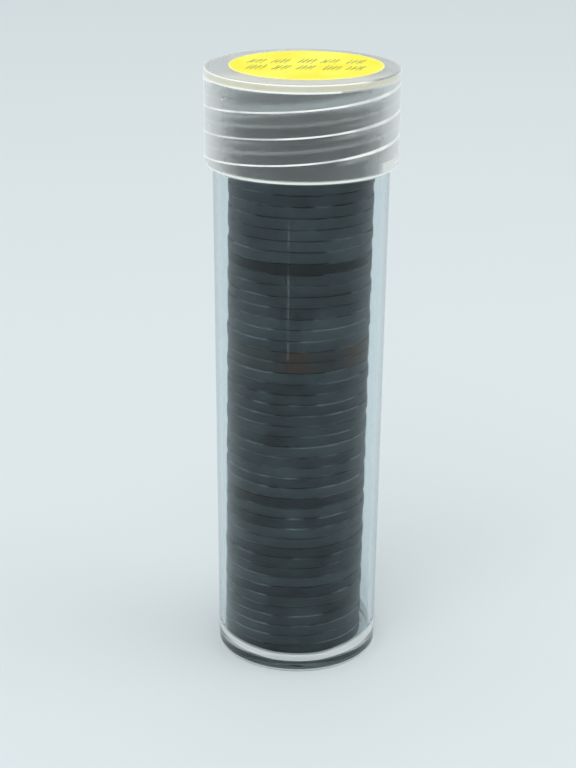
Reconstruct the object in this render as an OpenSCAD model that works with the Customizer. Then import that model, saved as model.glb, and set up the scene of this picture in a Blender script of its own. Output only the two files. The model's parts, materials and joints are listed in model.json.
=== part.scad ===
// A round tube that stores one roll of small coins, closed by a screw cap.
// Clear moulded tube, frosted moulded cap, paper label and the roll itself.
// Millimetres. The origin is the middle of the foot, +Z runs up the tube,
// and the front of the object faces -Y.

/* [Coins] */
// Diameter of one coin
coin_d = 19.05; // [16:0.05:24]
// Thickness of one coin at its rim
coin_t = 1.49; // [1.2:0.01:2]
// Number of coins in the roll
coin_count = 50; // [20:1:56]
// Width of the raised rim of a coin
coin_rim_w = 0.9; // [0.5:0.05:1.4]
// Depth of a coin's field below its rim
coin_field_depth = 0.1; // [0.04:0.01:0.2]
// Bevel of a coin's two edges
coin_bevel = 0.12; // [0.04:0.01:0.2]
// Radius of the star on a coin's upper face, to its points
star_r = 4.6; // [2:0.1:5.5]
// Radius of the ring on a coin's lower face
coin_ring_r = 5.2; // [3:0.1:6]
// Width of the ring on a coin's lower face
coin_ring_w = 0.6; // [0.3:0.05:1]

/* [Tube] */
// Gap between a coin and the bore at the floor, on the radius
coin_gap = 0.775; // [0.5:0.025:1.2]
// Draft of the bore: how much wider its radius is at the mouth
bore_draft = 0.1; // [0:0.01:0.3]
// Wall of the tube at the foot
foot_wall = 0.8; // [0.7:0.05:1.4]
// Wall of the tube just under the cap
shoulder_wall = 1.17; // [1.1:0.01:1.5]
// Wall of the threaded neck, without its ridges
neck_wall = 0.7; // [0.6:0.05:1]
// Thickness of the floor
floor_t = 2; // [1.2:0.1:3]
// Empty height above the roll when the cap is on
headroom = 4.5; // [4.2:0.1:7]
// Rounding of the foot's outer edge
foot_round = 0.35; // [0.2:0.05:0.6]
// Width of the ring that the tube stands on
foot_ring_w = 1.1; // [0.8:0.1:1.8]
// Depth of the recess under the floor
foot_recess = 0.35; // [0.2:0.05:0.8]
// Diameter of the moulding gate's mark in that recess
gate_d = 1.6; // [1:0.1:3]
// Height of the gate's mark
gate_h = 0.15; // [0.05:0.05:0.2]
// Rounding of the shoulder and of the mouth
lip_round = 0.2; // [0.1:0.05:0.3]

/* [Cap] */
// Thickness of the cap's top
cap_top_t = 1; // [0.8:0.1:1.6]
// Inner height of the cap's skirt
skirt_h = 11.4; // [10:0.1:14]
// Wall of the skirt, without its ridges
skirt_wall = 0.83; // [0.7:0.01:1.4]
// Rounding of the cap's top edge
cap_round = 0.4; // [0.2:0.05:0.6]
// Rounding of the skirt's lower edge
skirt_round = 0.25; // [0.1:0.05:0.3]
// Gap between the skirt's lower edge and the tube's shoulder
shoulder_gap = 0.3; // [0.2:0.05:1]

/* [Thread] */
// Number of thread starts
thread_starts = 2; // [2:1:3]
// Rise of the cap for one full turn
thread_lead = 6.6; // [6.2:0.1:7.6]
// Height of the ridges, on the cap and on the neck
ridge_h = 0.52; // [0.4:0.02:0.6]
// Width of the cap's ridge at its crest
cap_crest_w = 1; // [0.6:0.05:1.05]
// Width of the neck's ridge at its crest
neck_crest_w = 0.5; // [0.3:0.05:0.6]
// Slope of the ridges' flanks, width gained over height
flank_slope = 0.75; // [0.5:0.05:0.8]
// Gap between a ridge's crest and the wall that it faces
crest_gap = 0.2; // [0.15:0.01:0.25]
// Gap between the flanks of the cap's ridge and the neck's ridge above it
flank_gap = 0.15; // [0.12:0.01:0.2]
// Plain height of the skirt below its ridges
skirt_lead_in = 0.8; // [0.6:0.1:1.6]
// Plain height of the neck below its ridges
neck_foot_h = 1; // [0.8:0.1:2]
// Plain height of the neck above its ridges
neck_top_h = 0.6; // [0.4:0.1:1.6]
// Direction in which the first ridge of the cap starts, in degrees from the front
ridge_start_angle = -98; // [-180:1:180]

/* [Label] */
// Diameter of the paper label
label_d = 20; // [14:0.1:22]
// Thickness of the paper label
label_t = 0.12; // [0.08:0.01:0.3]
// Shift of the label from the cap's middle, to the right
label_shift_x = 0.5; // [-1:0.1:1]
// Shift of the label from the cap's middle, to the back
label_shift_y = 0.3; // [-1:0.1:1]

/* [Roll] */
// How far the lowest coin lies to the left of the middle
roll_lean_low = 0.56; // [0:0.01:0.6]
// How far the highest coin lies to the right of the middle
roll_lean_high = 0.1; // [0:0.01:0.4]
// Largest stray of a coin from the line of the roll
roll_stray = 0.08; // [0:0.01:0.12]

/* [Hidden] */
$fn = 96;

function coin_name(k) = str("coin_", k < 10 ? "0" : "", k);

// one overrun serves every cut and every ridge that is sunk into its wall
overrun = 0.15;

coin_r = coin_d / 2;
roll_h = coin_count * coin_t;

// heights of the tube, from its foot
mouth_z = floor_t + roll_h + headroom;
skirt_z = mouth_z - skirt_h;
shoulder_z = skirt_z - shoulder_gap;
cap_top_z = mouth_z + cap_top_t;

// radii of the tube
bore_low_r = coin_r + coin_gap;
bore_high_r = bore_low_r + bore_draft;
foot_r = bore_low_r + foot_wall;
neck_r = bore_high_r + neck_wall;
shoulder_bore_r = bore_low_r + bore_draft * (shoulder_z - floor_t) / (mouth_z - floor_t);
shoulder_r = max(shoulder_bore_r + shoulder_wall, neck_r + lip_round);
recess_r = foot_r - foot_round - foot_ring_w;

// radii of the cap, measured from the neck that it turns on
neck_crest_r = neck_r + ridge_h;
skirt_r = neck_crest_r + crest_gap;
cap_crest_r = skirt_r - ridge_h;
cap_r = skirt_r + skirt_wall;

// middle line of the cap's first ridge, and of the neck's ridge above it
cap_base_w = cap_crest_w + 2 * flank_slope * ridge_h;
neck_base_w = neck_crest_w + 2 * flank_slope * ridge_h;
ridge_overlap = neck_crest_r - cap_crest_r;
mesh_rise = (cap_crest_w + neck_crest_w) / 2 + flank_slope * ridge_overlap + flank_gap;
cap_ridge_low_z = skirt_z + skirt_lead_in + cap_base_w / 2;
cap_ridge_high_z = mouth_z;
neck_ridge_low_z = shoulder_z + neck_foot_h + neck_base_w / 2;
neck_ridge_high_z = mouth_z - neck_top_h - neck_base_w / 2;

// angles run as in the plan view, so the front of the object lies at -90 degrees
front_angle = -90;
cap_start_angle = front_angle + ridge_start_angle;
neck_start_angle = cap_start_angle + 360 * (neck_ridge_low_z - cap_ridge_low_z - mesh_rise) / thread_lead;

// a ridge rises out of its wall and sinks back into it over this angle
runout_angle = 30;
ridge_step_angle = 7.5;
runout_least_share = 0.08;

// share of its full height that a ridge has at angle a of its sweep
function ridge_share(a, sweep) =
    max(runout_least_share, min(1, a / runout_angle, (sweep - a) / runout_angle));

// the four corners of a ridge's section at one angle: root, crest, crest, root
function ridge_section(root_r, crest_r, crest_w, z, turn) =
    let (
        half_crest = crest_w / 2,
        half_root = half_crest + flank_slope * abs(crest_r - root_r)
    )
    [
        for (corner = [[root_r, -half_root], [crest_r, -half_crest], [crest_r, half_crest], [root_r, half_root]])
        [corner[0] * cos(turn), corner[0] * sin(turn), z + corner[1]]
    ];

// A ridge swept along its helix. wall_r is the wall that it stands on,
// rise is its height, positive outwards and negative inwards.
module ridge(wall_r, rise, crest_w, low_z, high_z, start_angle) {
    sweep = 360 * (high_z - low_z) / thread_lead;
    steps = ceil(sweep / ridge_step_angle);
    root_r = wall_r - sign(rise) * overrun;
    points = [
        for (i = [0:steps])
        let (
            a = sweep * i / steps,
            crest_r = wall_r + rise * ridge_share(a, sweep)
        )
        each ridge_section(root_r, crest_r, crest_w, low_z + thread_lead * a / 360, start_angle + a)
    ];
    // the section's corners run the other way round on a ridge that points outwards
    flip = rise > 0;
    sides = [
        for (i = [0:steps - 1], j = [0:3])
        let (
            p = 4 * i + j,
            q = 4 * i + (j + 1) % 4
        )
        each (flip ? [[p, q, q + 4], [p, q + 4, p + 4]] : [[p, q + 4, q], [p, p + 4, q + 4]])
    ];
    last = 4 * steps;
    ends = flip
        ? [[3, 2, 1, 0], [last, last + 1, last + 2, last + 3]]
        : [[0, 1, 2, 3], [last + 3, last + 2, last + 1, last]];
    polyhedron(points = points, faces = concat(sides, ends), convexity = 6);
}

// points of a quarter round about [r, z], from angle a0 to angle a1
round_steps = 8;
function round_points(r, z, radius, a0, a1) =
    [for (i = [0:round_steps]) let (a = a0 + (a1 - a0) * i / round_steps) [r + radius * cos(a), z + radius * sin(a)]];

module tube_body() {
    color([0.80, 0.90, 0.93, 0.45])
    union() {
        difference() {
            rotate_extrude()
            polygon(concat(
                [[0, 0]],
                round_points(foot_r - foot_round, foot_round, foot_round, -90, 0),
                round_points(shoulder_r - lip_round, shoulder_z - lip_round, lip_round, 0, 90),
                [[neck_r, shoulder_z]],
                round_points(neck_r - lip_round, mouth_z - lip_round, lip_round, 0, 90),
                [[bore_high_r, mouth_z], [bore_low_r, floor_t], [0, floor_t]]
            ));
            translate([0, 0, -overrun])
            cylinder(r = recess_r, h = foot_recess + overrun);
        }
        // mark that the moulding gate leaves in the recess, short of the foot
        translate([0, 0, foot_recess - gate_h])
        cylinder(d = gate_d, h = gate_h + overrun);
        for (s = [0:thread_starts - 1])
        ridge(neck_r, ridge_h, neck_crest_w, neck_ridge_low_z, neck_ridge_high_z,
            neck_start_angle + 360 * s / thread_starts);
    }
}

module screw_cap() {
    color([0.82, 0.86, 0.84, 0.85])
    union() {
        rotate_extrude()
        polygon(concat(
            [[0, mouth_z], [skirt_r, mouth_z], [skirt_r, skirt_z]],
            round_points(cap_r - skirt_round, skirt_z + skirt_round, skirt_round, -90, 0),
            round_points(cap_r - cap_round, cap_top_z - cap_round, cap_round, 0, 90),
            [[0, cap_top_z]]
        ));
        // the ridges run up into the cap's top and end inside it
        intersection() {
            union()
            for (s = [0:thread_starts - 1])
            ridge(skirt_r, -ridge_h, cap_crest_w, cap_ridge_low_z, cap_ridge_high_z,
                cap_start_angle + 360 * s / thread_starts);
            translate([0, 0, skirt_z])
            cylinder(r = skirt_r + 2 * overrun, h = skirt_h + cap_top_t / 2);
        }
    }
}

module cap_label() {
    color([0.99, 0.97, 0.36])
    translate([label_shift_x, label_shift_y, cap_top_z])
    cylinder(d = label_d, h = label_t);
}

// a plain star with five points
star_points = 5;
star_waist_share = 0.42;
module star(radius) {
    polygon([
        for (i = [0:2 * star_points - 1])
        let (r = radius * (i % 2 == 0 ? 1 : star_waist_share))
        [r * cos(180 * i / star_points), r * sin(180 * i / star_points)]
    ]);
}

// what is raised on a face stays a little below the rim
relief_share = 0.7;
module blank_coin() {
    field_r = coin_r - coin_rim_w;
    relief_h = coin_field_depth * relief_share;
    field_high_z = coin_t - coin_field_depth;
    rotate_extrude()
    polygon([
        [0, coin_field_depth],
        [field_r - coin_field_depth, coin_field_depth],
        [field_r, 0],
        [coin_r - coin_bevel, 0],
        [coin_r, coin_bevel],
        [coin_r, coin_t - coin_bevel],
        [coin_r - coin_bevel, coin_t],
        [field_r, coin_t],
        [field_r - coin_field_depth, field_high_z],
        [0, field_high_z]
    ]);
    translate([0, 0, field_high_z - overrun])
    linear_extrude(height = overrun + relief_h)
    star(star_r);
    translate([0, 0, coin_field_depth - relief_h])
    difference() {
        cylinder(r = coin_ring_r, h = relief_h + overrun);
        translate([0, 0, -overrun])
        cylinder(r = coin_ring_r - coin_ring_w, h = relief_h + 3 * overrun);
    }
}

// The roll leans across the bore, and each coin strays a little from its line.
// These angles only scatter the coins, so that no two neighbours stray alike.
stray_step_x = 137;
stray_step_y = 101;
function lean_x(k) = -roll_lean_low + (roll_lean_low + roll_lean_high) * (k - 1) / max(1, coin_count - 1);
function coin_place(k) = [
    lean_x(k) + roll_stray * sin(stray_step_x * k),
    roll_stray * sin(stray_step_y * k),
    floor_t + coin_t * (k - 1)
];

module coin(k) {
    color(k % 4 == 0 ? [0.30, 0.33, 0.35] : [0.24, 0.27, 0.29])
    translate(coin_place(k))
    rotate([0, 0, stray_step_x * k])
    blank_coin();
}

tube_body();
screw_cap();
cap_label();
for (k = [1:coin_count])
coin(k);
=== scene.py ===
# %% [markdown]
# # A roll of coins in its tube
# The object is a clear tube that holds a roll of small coins, with a frosted screw cap and a round
# paper label on the cap. Its pieces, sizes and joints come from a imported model, which is loaded first
# and stays as it is. What is made here is the look: finer shells for the tube, the cap and the label,
# the finish of every surface, and a plain table with soft light.

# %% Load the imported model
import json
import math
import random

import bpy
from mathutils import Matrix, Vector


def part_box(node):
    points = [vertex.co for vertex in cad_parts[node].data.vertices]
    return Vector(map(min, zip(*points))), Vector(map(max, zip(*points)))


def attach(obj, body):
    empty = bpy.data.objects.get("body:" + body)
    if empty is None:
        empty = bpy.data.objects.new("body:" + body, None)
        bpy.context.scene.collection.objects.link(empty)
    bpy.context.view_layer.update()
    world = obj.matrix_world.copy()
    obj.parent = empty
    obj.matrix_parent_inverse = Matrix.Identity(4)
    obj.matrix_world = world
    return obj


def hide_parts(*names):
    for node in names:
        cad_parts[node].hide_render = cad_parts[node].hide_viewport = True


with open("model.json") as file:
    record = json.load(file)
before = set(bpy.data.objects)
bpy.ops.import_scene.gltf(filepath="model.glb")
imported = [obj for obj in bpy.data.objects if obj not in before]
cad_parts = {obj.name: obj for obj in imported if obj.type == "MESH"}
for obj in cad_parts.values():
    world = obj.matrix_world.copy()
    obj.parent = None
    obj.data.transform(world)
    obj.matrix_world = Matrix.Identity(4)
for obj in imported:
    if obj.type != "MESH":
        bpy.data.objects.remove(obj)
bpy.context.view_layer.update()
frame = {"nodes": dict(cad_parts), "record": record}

print("nodes:", len(frame["nodes"]))

# %% [markdown]
# ## Units
# Blender works in metres, and a coin tube is a thing of millimetres. So the sizes below are written in
# millimetres, as they would stand on a drawing, and one factor turns them into metres. They repeat the
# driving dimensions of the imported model. The rest is worked out from them, and the last lines compare
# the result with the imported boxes.

# %% Driving dimensions in millimetres
MM = 0.001

# The coins and the room around them
COIN_D = 19.05
COIN_T = 1.49
COIN_COUNT = 50
COIN_GAP = 0.775
HEADROOM = 4.5

# The tube
BORE_DRAFT = 0.1
FOOT_WALL = 0.8
SHOULDER_WALL = 1.17
NECK_WALL = 0.7
FLOOR_T = 2.0
FOOT_ROUND = 0.35
FOOT_RING_W = 1.1
FOOT_RECESS = 0.35
GATE_D = 1.6
GATE_H = 0.15
LIP_ROUND = 0.2

# The cap
CAP_TOP_T = 1.0
SKIRT_H = 11.4
SKIRT_WALL = 0.83
CAP_ROUND = 0.4
SKIRT_ROUND = 0.25
SHOULDER_GAP = 0.3

# The label
LABEL_D = 20.0
LABEL_SHIFT = (0.5, 0.3)

# %% Derived dimensions in millimetres
bore_low_r = COIN_D / 2 + COIN_GAP
bore_high_r = bore_low_r + BORE_DRAFT
foot_r = bore_low_r + FOOT_WALL
neck_r = bore_high_r + NECK_WALL
mouth_z = FLOOR_T + COIN_COUNT * COIN_T + HEADROOM
skirt_z = mouth_z - SKIRT_H
shoulder_z = skirt_z - SHOULDER_GAP
cap_top_z = mouth_z + CAP_TOP_T
shoulder_r = bore_low_r + BORE_DRAFT * (shoulder_z - FLOOR_T) / (mouth_z - FLOOR_T) + SHOULDER_WALL
cap_low, cap_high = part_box("screw_cap")
print(f"cap top: worked out {cap_top_z:.2f} mm, packed {cap_high.z / MM:.2f} mm")
print(f"skirt edge: worked out {skirt_z:.2f} mm, packed {cap_low.z / MM:.2f} mm")

# %% [markdown]
# ## The thread
# Cap and neck each carry two ridges that climb side by side, so half a turn moves the cap on by one
# ridge. A thread could be made with the Screw modifier, which leaves a ridge that only pierces the
# wall. In clear plastic such a hidden wall would show. So the ridge is made as relief instead: a
# function says how far the wall swells at a given height and direction, and the wall's own points are
# moved by it. The rings of that wall climb with the thread, so each corner of a ridge is an edge of
# the mesh and stays crisp with few faces.

# %% Dimensions of the thread in millimetres and degrees
THREAD_LEAD = 6.6
THREAD_STARTS = 2
RIDGE_PITCH = THREAD_LEAD / THREAD_STARTS
RIDGE_H = 0.52
CAP_CREST_W = 1.0
NECK_CREST_W = 0.5
FLANK_SLOPE = 0.75
CREST_GAP = 0.2
FLANK_GAP = 0.15
SKIRT_LEAD_IN = 0.8
NECK_FOOT_H = 1.0
NECK_TOP_H = 0.6
CAP_START_DEG = -188.0

neck_crest_r = neck_r + RIDGE_H
skirt_r = neck_crest_r + CREST_GAP
cap_crest_r = skirt_r - RIDGE_H
cap_r = skirt_r + SKIRT_WALL
cap_half_root = CAP_CREST_W / 2 + FLANK_SLOPE * RIDGE_H
neck_half_root = NECK_CREST_W / 2 + FLANK_SLOPE * RIDGE_H
mesh_rise = (CAP_CREST_W + NECK_CREST_W) / 2 + FLANK_SLOPE * (neck_crest_r - cap_crest_r) + FLANK_GAP
cap_ridge_low = skirt_z + SKIRT_LEAD_IN + cap_half_root
neck_ridge_low = shoulder_z + NECK_FOOT_H + neck_half_root
neck_ridge_high = mouth_z - NECK_TOP_H - neck_half_root
neck_start_deg = CAP_START_DEG + 360 * (neck_ridge_low - cap_ridge_low - mesh_rise) / THREAD_LEAD
print(f"cap: worked out {2 * cap_r:.2f} mm across, packed {(cap_high.x - cap_low.x) / MM:.2f} mm")
print(f"ridges of the cap cover {360 * (mouth_z - cap_ridge_low) / THREAD_LEAD:.0f} degrees each")

# %% Thread relief
RUNOUT_DEG = 30.0
LEAST_SHARE = 0.08


def ridge_height(direction_deg, z, low_z, high_z, start_deg, crest_w):
    """How far a threaded wall swells, in mm, at a height z and a direction in plan."""
    sweep = 360 * (high_z - low_z) / THREAD_LEAD
    best = 0.0
    for start in range(THREAD_STARTS):
        turned = (direction_deg - start_deg - 360 * start / THREAD_STARTS) % 360
        while turned <= sweep:
            share = min(1.0, turned / RUNOUT_DEG, (sweep - turned) / RUNOUT_DEG)
            rise = RIDGE_H * max(LEAST_SHARE, share)
            away = abs(z - low_z - THREAD_LEAD * turned / 360)
            flank = (crest_w / 2 + FLANK_SLOPE * rise - away) / FLANK_SLOPE
            best = max(best, min(rise, flank))
            turned += 360
    return best


def neck_relief(direction_deg, z):
    """The neck swells outwards where its ridges run."""
    return ridge_height(direction_deg, z, neck_ridge_low, neck_ridge_high, neck_start_deg, NECK_CREST_W)


def cap_relief(direction_deg, z):
    """The skirt swells inwards, and its ridges run on into the cap's top."""
    return -ridge_height(direction_deg, z, cap_ridge_low, mouth_z, CAP_START_DEG, CAP_CREST_W)


print(f"a ridge reaches its full height of {RIDGE_H} mm over {RUNOUT_DEG:.0f} degrees")

# %% [markdown]
# ## Turning a section
# Both mouldings are round, so each is one half section turned about the tube's axis. The section is a
# list of rings from the axis, along the outside and back to the axis. A ring of a threaded wall climbs
# by one lead per turn and ends where it meets the wall's upper or lower end. Rounded edges are short
# arcs of points in the section, which costs less than a Bevel modifier and keeps the exact radius.

# %% Rings of a section
def arc(centre_r, centre_z, radius, from_deg, to_deg, steps=6):
    """Rings of a rounded edge, as (radius, height, thread)."""
    turns = [math.radians(from_deg + (to_deg - from_deg) * i / steps) for i in range(steps + 1)]
    return [(centre_r + radius * math.cos(a), centre_z + radius * math.sin(a), None) for a in turns]


def threaded_wall(r, low, high, ridge_z, ridge_deg, crest_w, relief):
    """Rings that climb with the thread along a wall from low to high, four for each ridge."""
    root = crest_w / 2 + FLANK_SLOPE * RIDGE_H
    start_z = ridge_z - THREAD_LEAD * ridge_deg / 360
    first = math.floor((low - THREAD_LEAD - root - start_z) / RIDGE_PITCH)
    last = math.ceil((high + root - start_z) / RIDGE_PITCH)
    middles = [start_z + RIDGE_PITCH * i for i in range(first, last + 1)]
    corners = (-root, -crest_w / 2, crest_w / 2, root)
    return [(r, z + off, (relief, low, high)) for z in middles for off in corners]


print("a rounded edge has", len(arc(1, 1, 1, 0, 90)), "rings")

# %% Turn a section into a body
SEGMENTS = 192
SAME_DIGITS = 5
CRISP_DEG = 40
SOFT_DEG = 60


def smooth(body, sharp_deg):
    """Soft shading, with creases where the section turns by more than an angle."""
    body.data.shade_smooth()
    body.data.set_sharp_from_angle(angle=math.radians(sharp_deg))
    even = body.modifiers.new("even_shading", "WEIGHTED_NORMAL")
    even.keep_sharp = True


def turned_body(name, rings, sharp_deg=CRISP_DEG):
    """A closed mesh from a half section that starts and ends on the axis."""
    points, places, faces = [], {}, []

    def point(ring, i):
        """The number of a ring's point on side i. Points at one place are one point."""
        r, z, thread = ring
        deg = 360 * (i % SEGMENTS) / SEGMENTS
        if thread:
            relief, low, high = thread
            z = min(max(z + THREAD_LEAD * i / SEGMENTS, low), high)
            r += relief(deg, z)
        spot = (r * math.cos(math.radians(deg)), r * math.sin(math.radians(deg)), z)
        place = tuple(round(c, SAME_DIGITS) for c in spot)
        if place not in places:
            places[place] = len(points)
            points.append([c * MM for c in spot])
        return places[place]

    for near, far in zip(rings, rings[1:]):
        for i in range(SEGMENTS):
            around = (point(near, i), point(near, i + 1), point(far, i + 1), point(far, i))
            corners = list(dict.fromkeys(around))
            if len(corners) > 2:
                faces.append(corners)
    mesh = bpy.data.meshes.new(name)
    mesh.from_pydata(points, [], faces)
    body = bpy.data.objects.new(name, mesh)
    bpy.context.scene.collection.objects.link(body)
    smooth(body, sharp_deg)
    return body


print("a turned body has", SEGMENTS, "sides")

# %% [markdown]
# ## The tube
# The real tube is injection moulded from clear polystyrene: a floor, a wall that opens slightly
# towards the mouth so that it slides off its core, a shoulder for the cap's edge and a threaded neck.
# The foot has a shallow recess with the mark of the moulding gate, so that it stands on a narrow ring.
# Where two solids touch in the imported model, a hair of air is left here, because light needs to know
# which surface it meets first.

# %% Make the tube
AIR = 0.012
CORNER_ROUND = 0.3
recess_r = foot_r - FOOT_ROUND - FOOT_RING_W

tube_rings = [
    (0, FOOT_RECESS - GATE_H, None),
    (GATE_D / 2, FOOT_RECESS - GATE_H, None),
    (GATE_D / 2, FOOT_RECESS, None),
    (recess_r, FOOT_RECESS, None),
    (recess_r, 0, None),
]
tube_rings += arc(foot_r - FOOT_ROUND, FOOT_ROUND, FOOT_ROUND, -90, 0)
tube_rings += arc(shoulder_r - LIP_ROUND, shoulder_z - LIP_ROUND, LIP_ROUND, 0, 90)
tube_rings += threaded_wall(neck_r, shoulder_z, mouth_z - LIP_ROUND - AIR,
                            neck_ridge_low, neck_start_deg, NECK_CREST_W, neck_relief)
tube_rings += arc(neck_r - LIP_ROUND, mouth_z - LIP_ROUND - AIR, LIP_ROUND, 0, 90)
tube_rings += [(bore_high_r, mouth_z - AIR, None)]
tube_rings += arc(bore_low_r - CORNER_ROUND, FLOOR_T - AIR + CORNER_ROUND, CORNER_ROUND, 0, -90)
tube_rings += [(0, FLOOR_T - AIR, None)]
tube_shell = turned_body("tube_shell", tube_rings)
print("tube:", len(tube_shell.data.polygons), "faces")

# %% [markdown]
# ## The cap
# The cap is a second moulding, in a softer and milky plastic. Its section starts under the top, runs
# down the inside of the skirt with the ridges in relief, and comes back up the plain outside. A soft
# plastic never fills the corners of a ridge quite sharply, so the shading runs on over them, and only
# the square corners of the section keep a crease.

# %% Make the cap
cap_rings = [(0, mouth_z, None), (skirt_r, mouth_z, None)]
cap_rings += reversed(threaded_wall(skirt_r, skirt_z, mouth_z - AIR,
                                    cap_ridge_low, CAP_START_DEG, CAP_CREST_W, cap_relief))
cap_rings += arc(cap_r - SKIRT_ROUND, skirt_z + SKIRT_ROUND, SKIRT_ROUND, -90, 0)
cap_rings += arc(cap_r - CAP_ROUND, cap_top_z - CAP_ROUND, CAP_ROUND, 0, 90)
cap_rings += [(0, cap_top_z, None)]
cap_shell = turned_body("cap_shell", cap_rings, SOFT_DEG)
print("cap:", len(cap_shell.data.polygons), "faces")

# %% [markdown]
# ## Colours and nodes
# Colours are written as sRGB hex values, the way a paint chart or a photograph gives them. Nodes work
# with linear light, so one function turns them over. A second one adds a node with its settings and
# its inputs. The inputs come by name, or in the order in which the node editor shows them, and each is
# a plain value, another node or one of its outputs. Settings that are needed again and again get a
# short name of their own.

# %% Add a node
TIMES = {"operation": "MULTIPLY"}
LESS = {"operation": "SUBTRACT"}
OVER = {"operation": "DIVIDE"}
LARGER_OF = {"operation": "MAXIMUM"}
COLOURS = {"data_type": "RGBA"}
EASED = {"interpolation_type": "SMOOTHSTEP"}


def linear(hex_text):
    """An sRGB hex colour as linear numbers with an alpha of 1, by the curve of that standard."""
    parts = [int(hex_text[i:i + 2], 16) / 255 for i in (1, 3, 5)]
    return (*[c / 12.92 if c <= 0.04045 else ((c + 0.055) / 1.055) ** 2.4 for c in parts], 1.0)


def add(tree, kind, settings=None, inputs=()):
    """Adds a node with its settings. A node given as an input stands for the first output shown."""
    node = tree.nodes.new("ShaderNode" + kind)
    for name, value in (settings or {}).items():
        setattr(node, name, value)
    if isinstance(inputs, dict):
        pairs = [(node.inputs[name], value) for name, value in inputs.items()]
    else:
        pairs = zip([socket for socket in node.inputs if socket.enabled], inputs)
    for socket, value in pairs:
        if isinstance(value, bpy.types.Node):
            value = next(output for output in value.outputs if output.enabled)
        if isinstance(value, bpy.types.NodeSocket):
            tree.links.new(value, socket)
        else:
            socket.default_value = value
    return node


def new_material(name):
    """An empty material and its node tree."""
    material = bpy.data.materials.new(name)
    material.use_nodes = True
    material.node_tree.nodes.clear()
    return material, material.node_tree


print("paper yellow is", [round(c, 3) for c in linear("#FDFC64")[:3]], "in linear light")

# %% [markdown]
# ## Where on the object
# The finishes below follow the object: a line along a thread, a band at the foot, a gap between two
# coins. An image could hold them, but would need unwrapping and show its pixels in a close view. So
# each point asks for its own place, as a height, a direction and a distance from the axis, and a band
# is a soft step up followed by a soft step down.

# %% Read a place in millimetres
NOISE_SPAN = (0.3, 0.7)


def in_millimetres(tree):
    """A place on the object in mm."""
    place = add(tree, "TexCoord").outputs["Object"]
    return add(tree, "VectorMath", {"operation": "SCALE"}, (place, 1 / MM))


def height_and_turn(tree, mm):
    """A place's height in mm, and its direction in plan in radians. The front is at -pi / 2."""
    axes = add(tree, "SeparateXYZ", inputs=(mm,)).outputs
    return axes["Z"], add(tree, "Math", {"operation": "ARCTAN2"}, (axes["Y"], axes["X"]))


def distance_in_plan(tree, mm, centre=(0, 0)):
    """How far a place is from an upright axis, in mm."""
    off = add(tree, "VectorMath", LESS, (mm, (*centre, 0)))
    flat = add(tree, "VectorMath", TIMES, (off, (1, 1, 0)))
    return add(tree, "VectorMath", {"operation": "LENGTH"}, (flat,))


def band(tree, value, low, high, soft):
    """1 where value is between low and high, falling to 0 over the length soft outside."""
    rise = add(tree, "MapRange", EASED, (value, low - soft, low, 0.0, 1.0))
    fall = add(tree, "MapRange", EASED, (value, high, high + soft, 1.0, 0.0))
    return add(tree, "Math", TIMES, (rise, fall))


print(f"most of a noise lies between {NOISE_SPAN[0]} and {NOISE_SPAN[1]}")

# %% [markdown]
# ## Clear polystyrene
# Polystyrene is hard, glassy and clear, and bends light a little more than window glass: its index is
# about 1.59. The mould was polished, so the surface is nearly smooth, with hair scuffs from handling
# and a slight waviness from the flow of the melt. Each skin takes a little of the light. Where the
# outer one is seen edge on, a painted shade darkens its colour. This draws the tube's outline the way
# the dark surroundings that clear plastic mirrors at its edges would. Layer Weight tells how far edge
# on that is. A room is darker than an even studio sky, so the gloss is lowered by its tint.
# The foot is a thick slab with a ring under it. Its inner corner and the ring's edge catch light, and
# the slab mirrors the dark coins from below. These three bands come from many inner reflections, so
# they are painted by height, as two painted highlights and a painted dark reflection, and don't have to
# be found by chance. A faint bright upright line in the front, in three pieces, is a painted reflection
# too.
# Lamps can't shine through a refracting surface in a path tracer except by luck, so shadow rays pass
# through a plain transparent shader instead.

# %% Painted light of the foot
# A band is (from, to, softness), in mm where it goes by height and in radians by direction. The
# corner's painted highlight stands higher at both sides than in front, and is wider on the right.
# The ring's band is a painted highlight too, and the slab's band a painted reflection of the dark
# coins.
CORNER_LOW_MM = 1.8
CORNER_LIFT_MM = 0.5
CORNER_LIFTS_FROM = 0.3
CORNER_THIN_MM = 0.85
CORNER_WIDE_MM = 1.25
CORNER_WIDENS = (-1.3, -0.6)
CORNER_SOFT = 0.13
SLAB_BAND = (0.52, 1.55, 0.12)
RING_HIGHLIGHT_BAND = (0.12, 0.42, 0.06)


def foot_painted_light(tree, height, turn):
    """How far a place gets the painted highlight of the foot's corner or ring, and the slab's painted
    reflection.
    """
    sideways = add(tree, "Math", {"operation": "COSINE"}, (turn,))
    sideways = add(tree, "Math", {"operation": "ABSOLUTE"}, (sideways,))
    lifted = (CORNER_LOW_MM, CORNER_LOW_MM + CORNER_LIFT_MM)
    low = add(tree, "MapRange", inputs=(sideways, CORNER_LIFTS_FROM, 1.0, *lifted))
    above = add(tree, "Math", LESS, (height, low))
    width = add(tree, "MapRange", inputs=(turn, *CORNER_WIDENS, CORNER_THIN_MM, CORNER_WIDE_MM))
    above = add(tree, "Math", OVER, (above, width))
    corner = band(tree, above, 0.0, 1.0, CORNER_SOFT)
    bright = add(tree, "Math", LARGER_OF, (corner, band(tree, height, *RING_HIGHLIGHT_BAND)))
    return bright, band(tree, height, *SLAB_BAND)


print(f"dark slab: from {SLAB_BAND[0]} to {SLAB_BAND[1]} mm, under a floor at {FLOOR_T} mm")

# %% A painted reflection in the front
# A faint bright upright line in the front is a painted reflection, in three pieces by height.
REFLECTED_LINE = (-1.711, -1.699, 0.004)
REFLECTED_LINE_REACH = (46.8, 63.9, 2.0)
REFLECTED_LINE_PIECES = ((61.6, 63.9, 1.2), (51.6, 57.4, 1.2), (46.8, 48.0, 1.2))
REFLECTED_LINE_BETWEEN = 0.35
REFLECTED_LINE_STRENGTH = 0.09


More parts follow.
